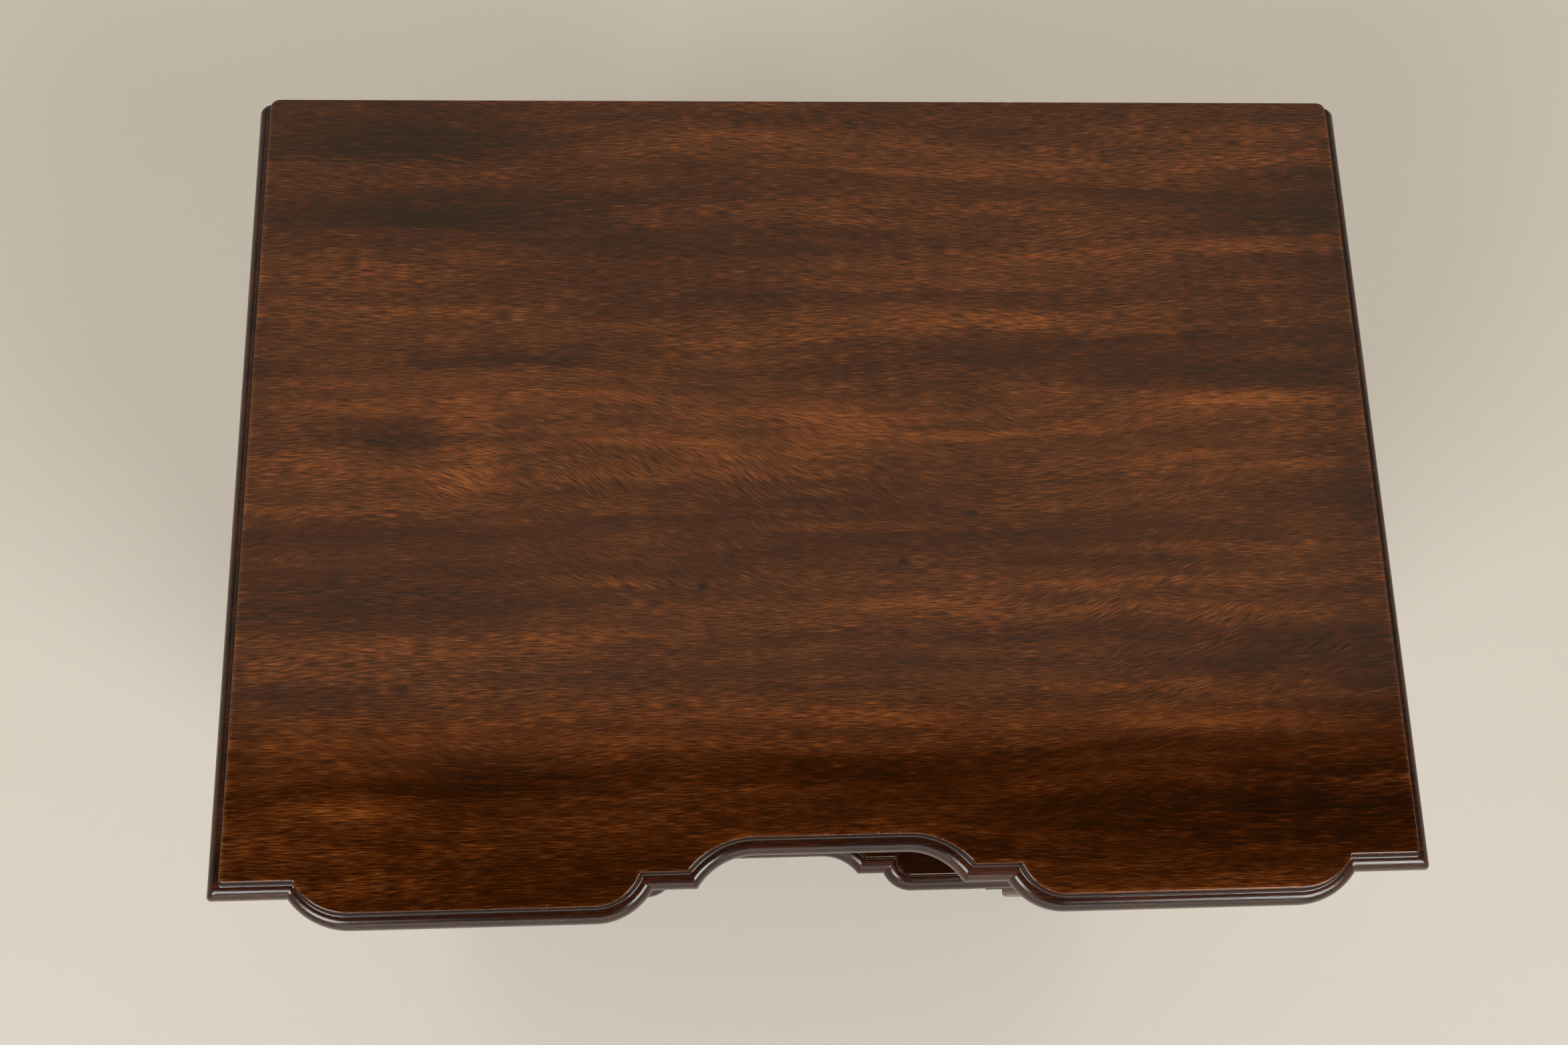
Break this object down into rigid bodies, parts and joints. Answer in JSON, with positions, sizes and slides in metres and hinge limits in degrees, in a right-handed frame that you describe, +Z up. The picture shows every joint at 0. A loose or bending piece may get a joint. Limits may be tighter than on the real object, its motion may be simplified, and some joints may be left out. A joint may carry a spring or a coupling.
{
  "type": "nightstand",
  "caption": "Block-front nightstand with a moulded top, a blocked drawer with bail pulls over an open compartment, a moulded base and ogee bracket feet.",
  "frame": {"origin": "on the floor, in the middle of the overall width and depth", "axes": "+Z up, +X to the right seen from the front, the drawer opens towards -Y"},
  "size_m": [0.612, 0.443, 0.68],
  "materials": {
    "mahogany": "dark stain under a satin lacquer",
    "poplar": "plain, sanded",
    "plywood": "thin clear coat",
    "steel": "bright",
    "brass": "aged, satin"
  },
  "bodies": {
    "carcase": {"top_board": "mahogany", "left_side_panel": "mahogany", "right_side_panel": "mahogany", "shelf_board": "mahogany", "top_rail": "mahogany", "drawer_rail": "mahogany", "base_moulding_front": "mahogany", "base_moulding_left": "mahogany", "base_moulding_right": "mahogany", "front_left_foot_face": "mahogany", "front_left_foot_return": "mahogany", "front_right_foot_face": "mahogany", "front_right_foot_return": "mahogany", "rear_left_foot_side": "mahogany", "rear_right_foot_side": "mahogany", "rear_top_rail": "poplar", "left_drawer_runner": "poplar", "right_drawer_runner": "poplar", "left_drawer_kicker": "poplar", "right_drawer_kicker": "poplar", "left_drawer_stop": "poplar", "right_drawer_stop": "poplar", "rear_left_foot_back": "poplar", "rear_right_foot_back": "poplar", "front_left_foot_block": "poplar", "front_right_foot_block": "poplar", "rear_left_foot_block": "poplar", "rear_right_foot_block": "poplar", "back_panel": "plywood", "dust_panel": "plywood", "front_left_top_screw": "steel", "front_right_top_screw": "steel", "rear_left_top_screw": "steel", "rear_right_top_screw": "steel"},
    "drawer": {"drawer_front": "mahogany", "drawer_left_side": "poplar", "drawer_right_side": "poplar", "drawer_back": "poplar", "drawer_bottom": "plywood", "drawer_bead_top": "mahogany", "drawer_bead_bottom": "mahogany", "drawer_bead_left": "mahogany", "drawer_bead_right": "mahogany", "left_pull_plate": "brass", "left_pull_outer_post": "brass", "left_pull_outer_post_nut": "brass", "left_pull_inner_post": "brass", "left_pull_inner_post_nut": "brass", "right_pull_plate": "brass", "right_pull_outer_post": "brass", "right_pull_outer_post_nut": "brass", "right_pull_inner_post": "brass", "right_pull_inner_post_nut": "brass"},
    "left_bail": {"left_pull_bail": "brass"},
    "right_bail": {"right_pull_bail": "brass"}
  },
  "joints": [
    {"name": "drawer_slide", "type": "slide", "parent": "carcase", "child": "drawer", "axis": [0, -1, 0], "range_m": [0, 0.25]},
    {"name": "left_bail_swing", "type": "hinge", "parent": "drawer", "child": "left_bail", "pos_m": [-0.1772, -0.2121, 0.6042], "axis": [-1, 0, 0], "range_deg": [0, 90]},
    {"name": "right_bail_swing", "type": "hinge", "parent": "drawer", "child": "right_bail", "pos_m": [0.1772, -0.2121, 0.6042], "axis": [-1, 0, 0], "range_deg": [0, 90]}
  ]
}
